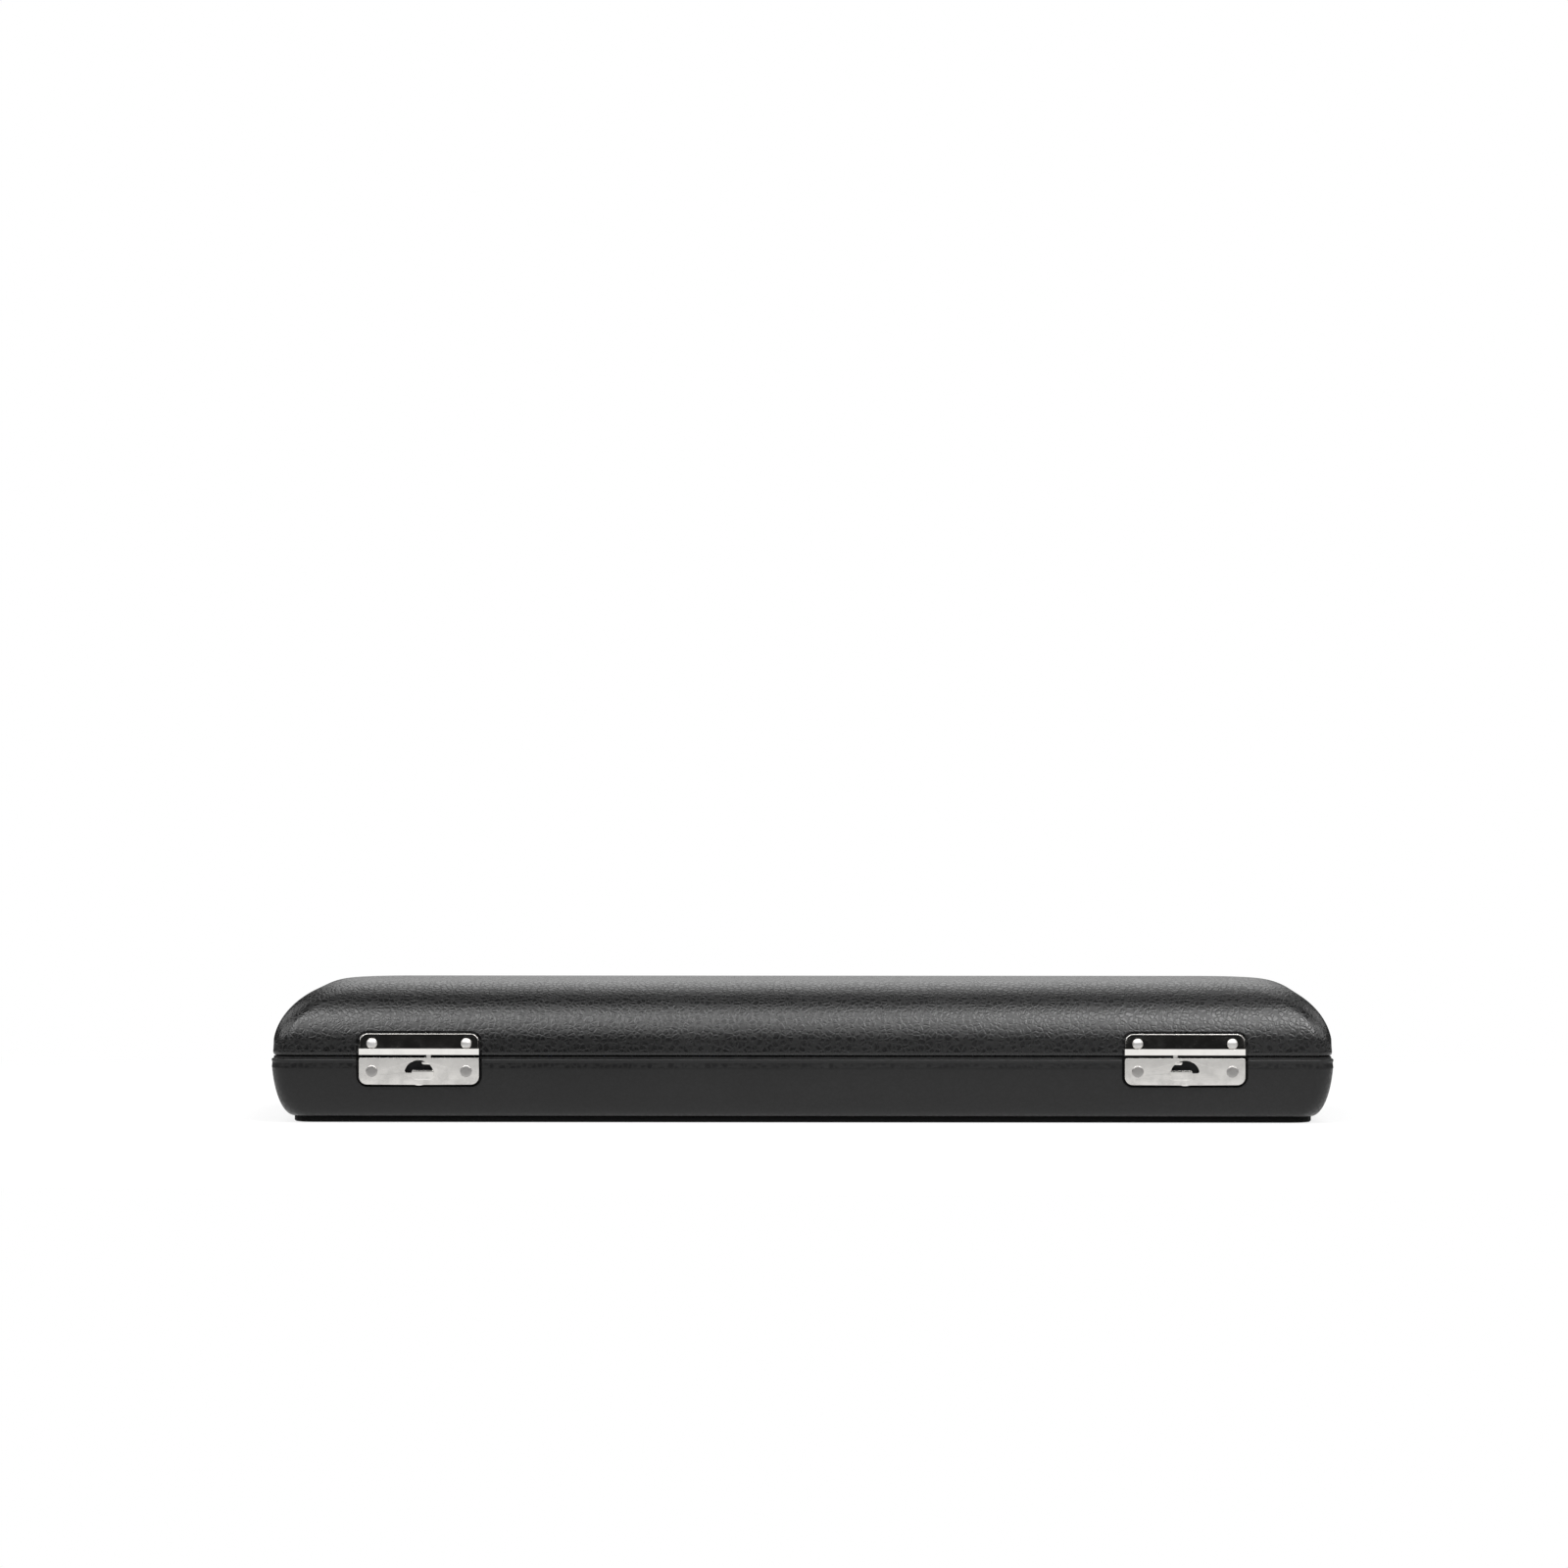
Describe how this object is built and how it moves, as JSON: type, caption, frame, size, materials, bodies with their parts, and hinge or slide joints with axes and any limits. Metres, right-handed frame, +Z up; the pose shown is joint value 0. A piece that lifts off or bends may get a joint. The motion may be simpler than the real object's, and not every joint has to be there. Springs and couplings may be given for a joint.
{
  "type": "piccolo case",
  "caption": "Long, shallow, rounded leather-covered case in two hinged halves, with slide latches and a fitted bed for a small woodwind in pieces.",
  "frame": {"origin": "under the middle of the closed case, on the surface that it stands on", "axes": "+X along the case, to the right seen from the latches; -Y the front with the latches; +Z up"},
  "size_m": [0.38, 0.1004, 0.0498],
  "materials": {
    "board": "bare board, hidden under the covering",
    "leather": "black, fine grain, semi-gloss",
    "panel": "matt black covered panel",
    "plush": "short-pile plush over foam or board, colour a guess",
    "nickel": "nickel-plated steel, polished",
    "spring_steel": "drawn spring wire"
  },
  "bodies": {
    "base": {"base_shell": "board", "base_leather": "leather", "base_bottom_panel": "panel", "base_valance": "plush", "base_floor_pad": "plush", "bed_front_rail": "plush", "bed_centre_rail": "plush", "bed_rear_rail": "plush", "bed_end_block_left": "plush", "bed_end_block_right": "plush", "bed_joint_divider": "plush", "bed_pocket_divider": "plush", "bed_saddle_body_left": "plush", "bed_saddle_body_right": "plush", "bed_saddle_head_left": "plush", "bed_saddle_head_right": "plush", "bed_saddle_rod_left": "plush", "bed_saddle_rod_right": "plush", "latch_case_left": "nickel", "latch_back_plate_left": "nickel", "latch_case_rivet_left_1": "nickel", "latch_case_rivet_left_2": "nickel", "hinge_base_leaf_left": "nickel", "hinge_pin_left": "nickel", "hinge_base_rivet_left_1": "nickel", "hinge_base_rivet_left_2": "nickel", "latch_case_right": "nickel", "latch_back_plate_right": "nickel", "latch_case_rivet_right_1": "nickel", "latch_case_rivet_right_2": "nickel", "hinge_base_leaf_right": "nickel", "hinge_pin_right": "nickel", "hinge_base_rivet_right_1": "nickel", "hinge_base_rivet_right_2": "nickel", "latch_spring_left": "spring_steel", "latch_spring_right": "spring_steel"},
    "lid": {"lid_shell": "board", "lid_leather": "leather", "lid_lining": "plush", "lid_pad": "plush", "latch_hook_plate_left": "nickel", "latch_hook_rivet_left_1": "nickel", "latch_hook_rivet_left_2": "nickel", "hinge_lid_leaf_left": "nickel", "hinge_lid_rivet_left_1": "nickel", "hinge_lid_rivet_left_2": "nickel", "latch_hook_plate_right": "nickel", "latch_hook_rivet_right_1": "nickel", "latch_hook_rivet_right_2": "nickel", "hinge_lid_leaf_right": "nickel", "hinge_lid_rivet_right_1": "nickel", "hinge_lid_rivet_right_2": "nickel"},
    "latch_slider_left": {"latch_slider_left": "nickel"},
    "latch_slider_right": {"latch_slider_right": "nickel"}
  },
  "joints": [
    {"name": "lid_hinge", "type": "hinge", "parent": "base", "child": "lid", "pos_m": [0, 0.0481, 0.0243], "axis": [-1, 0, 0], "range_deg": [0, 100]},
    {"name": "latch_slide_left", "type": "slide", "parent": "base", "child": "latch_slider_left", "axis": [-1, 0, 0], "range_m": [0, 0.0022], "stiffness_N_per_m": 150, "springref_m": -0.002, "deforming": ["latch_spring_left"]},
    {"name": "latch_slide_right", "type": "slide", "parent": "base", "child": "latch_slider_right", "axis": [1, 0, 0], "range_m": [0, 0.0022], "stiffness_N_per_m": 150, "springref_m": -0.002, "deforming": ["latch_spring_right"]}
  ]
}
